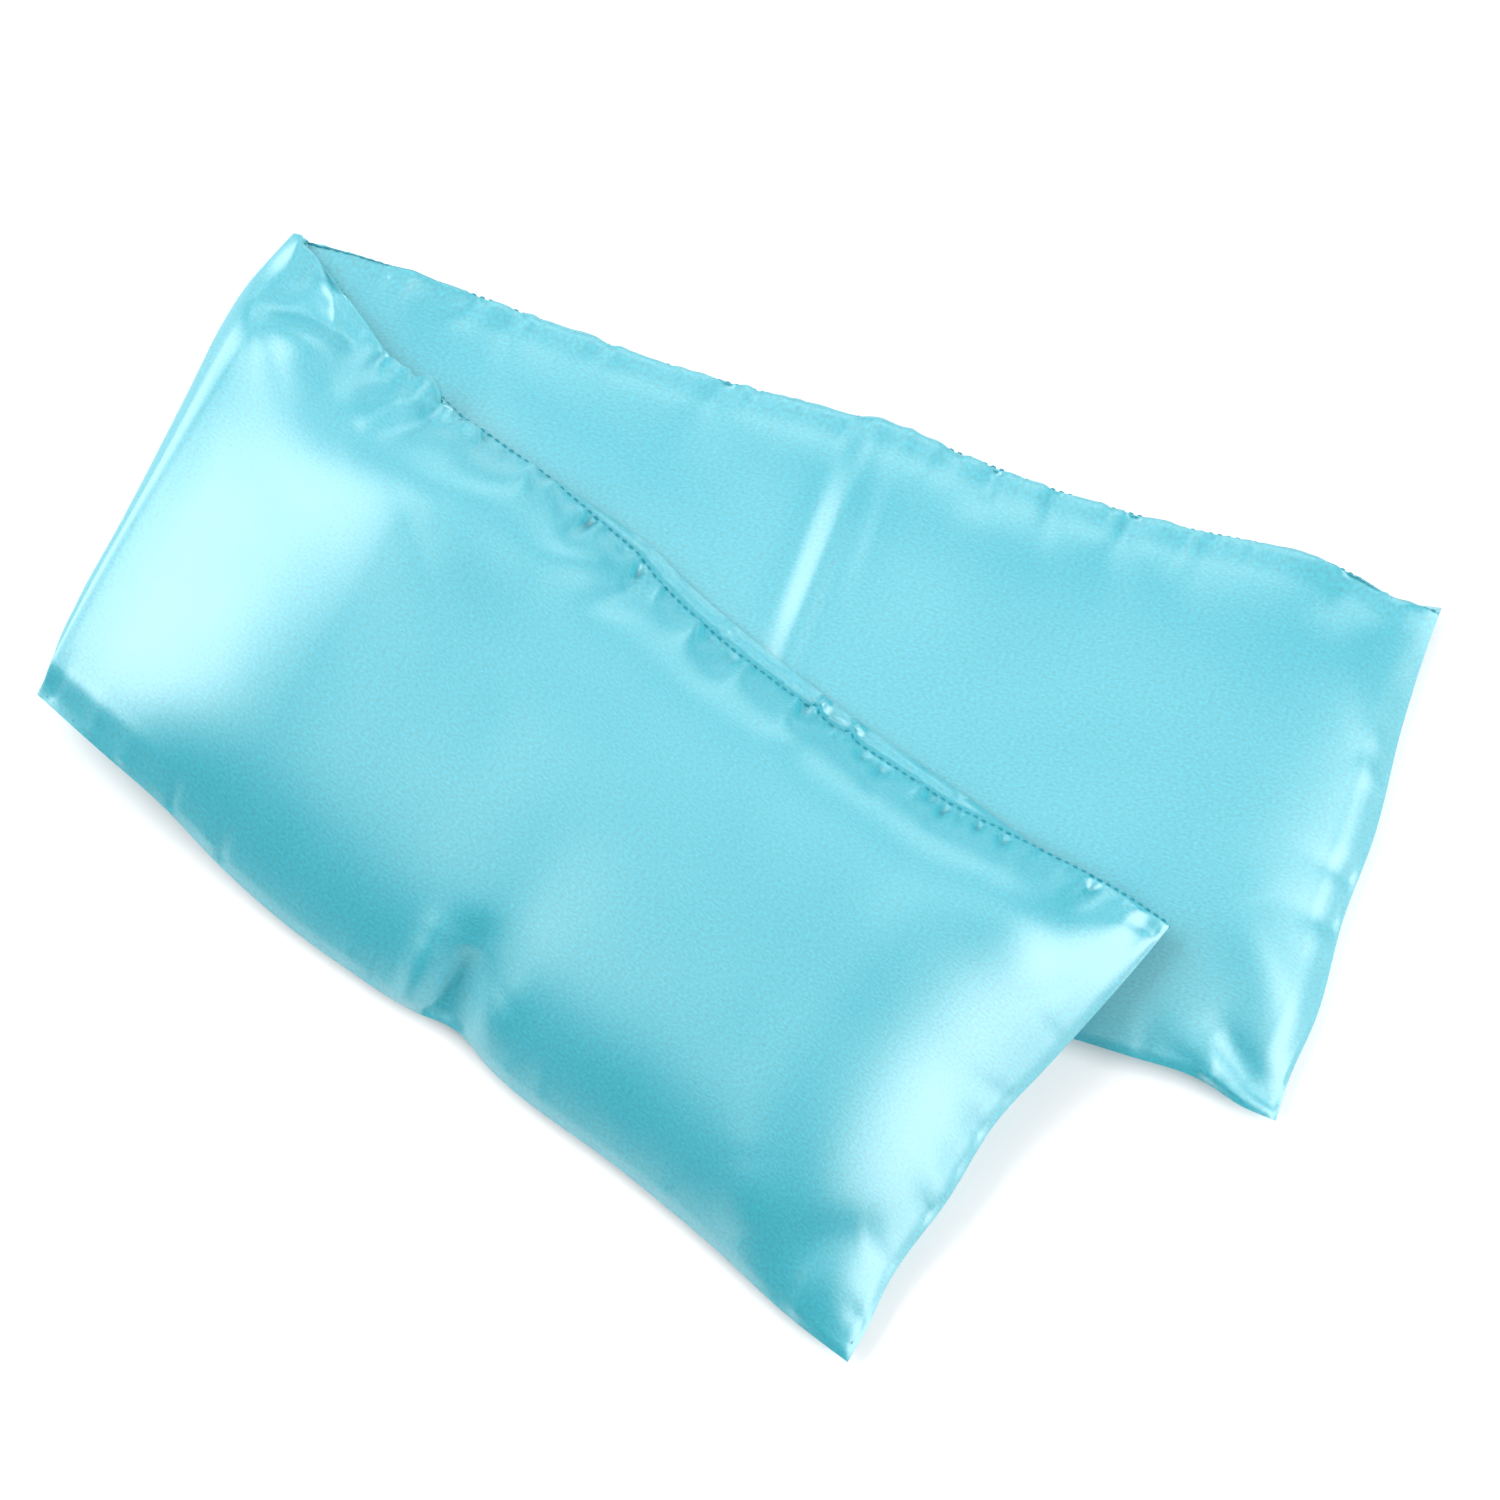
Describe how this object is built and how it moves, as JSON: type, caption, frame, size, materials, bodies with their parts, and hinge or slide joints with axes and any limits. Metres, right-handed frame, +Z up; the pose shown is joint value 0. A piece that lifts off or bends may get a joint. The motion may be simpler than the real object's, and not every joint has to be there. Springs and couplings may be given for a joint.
{
  "type": "eye pillow",
  "caption": "Long narrow satin eye pillow filled with flax seed, topstitched along one edge, lying folded over itself and hinged at its slanted fold.",
  "frame": {"origin": "middle of the lower half's flat rest face, on the table", "axes": "+X along the lower half from the fold to its free end, +Y to the topstitched closing edge, +Z up"},
  "size_m": [0.2851, 0.1947, 0.0301],
  "materials": {
    "satin": "satin",
    "liner_cotton": "matte",
    "flax_seed": "satin",
    "thread": "satin"
  },
  "bodies": {
    "lower_half": {"lower_outer_panel": "satin", "lower_inner_panel": "satin", "lower_liner_under": "liner_cotton", "lower_liner_top": "liner_cotton", "lower_seed_fill": "flax_seed", "lower_closing_thread": "thread", "lower_side_seam_thread": "thread", "lower_end_seam_thread": "thread", "fold_outer_panel": "satin", "fold_inner_panel": "satin", "fold_liner": "liner_cotton", "fold_seed_fill": "flax_seed"},
    "upper_half": {"upper_outer_panel": "satin", "upper_inner_panel": "satin", "upper_liner_under": "liner_cotton", "upper_liner_top": "liner_cotton", "upper_seed_fill": "flax_seed", "upper_closing_thread": "thread", "upper_side_seam_thread": "thread", "upper_end_seam_thread": "thread"}
  },
  "joints": [
    {"name": "fold", "type": "hinge", "parent": "lower_half", "child": "upper_half", "pos_m": [-0.136, 0, 0.015], "axis": [-0.1804, -0.9828, -0.0393], "range_deg": [0, 178], "deforming": ["fold_outer_panel", "fold_inner_panel", "fold_liner", "fold_seed_fill"]}
  ]
}
